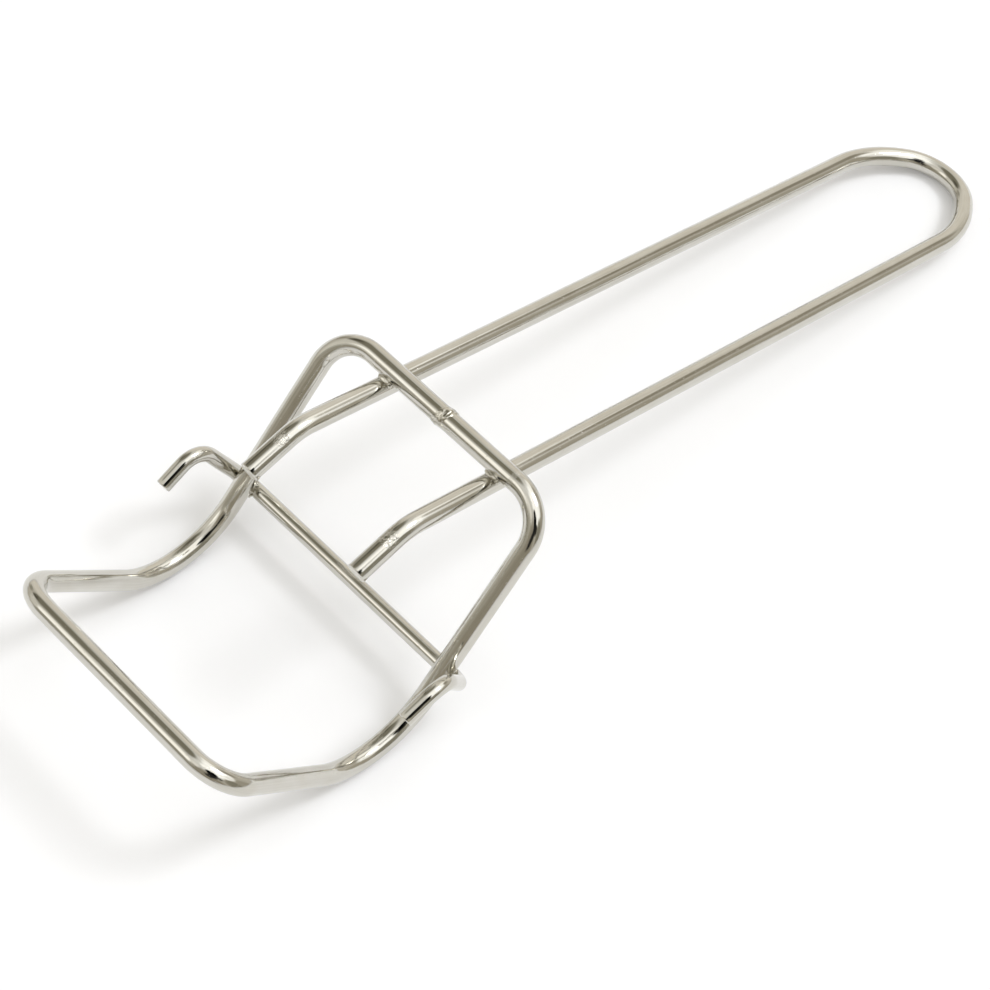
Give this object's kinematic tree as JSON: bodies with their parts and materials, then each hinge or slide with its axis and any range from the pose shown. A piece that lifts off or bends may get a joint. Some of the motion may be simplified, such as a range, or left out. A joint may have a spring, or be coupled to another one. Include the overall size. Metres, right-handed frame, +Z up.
{
  "type": "wire test tube holder",
  "caption": "Bent and welded wire holder: a long hairpin handle, a curved cradle loop across its legs and a thinner cross wire with hooked ends.",
  "frame": {"origin": "on the table under the middle of the holder's length and width", "axes": "+Z up, +Y back along the handle towards its closed end, +X across the holder"},
  "size_m": [0.0686, 0.2252, 0.0426],
  "materials": {
    "plated_wire": "bright nickel plate over drawn steel wire, faint lengthwise drawing lines",
    "weld": "plated over rough squeezed weld metal"
  },
  "bodies": {
    "root": {"handle_wire": "plated_wire", "cradle_loop": "plated_wire", "hook_wire": "plated_wire", "bar_weld_left": "weld", "bar_weld_right": "weld", "hook_weld_left": "weld", "hook_weld_right": "weld", "butt_weld": "weld"}
  },
  "joints": []
}
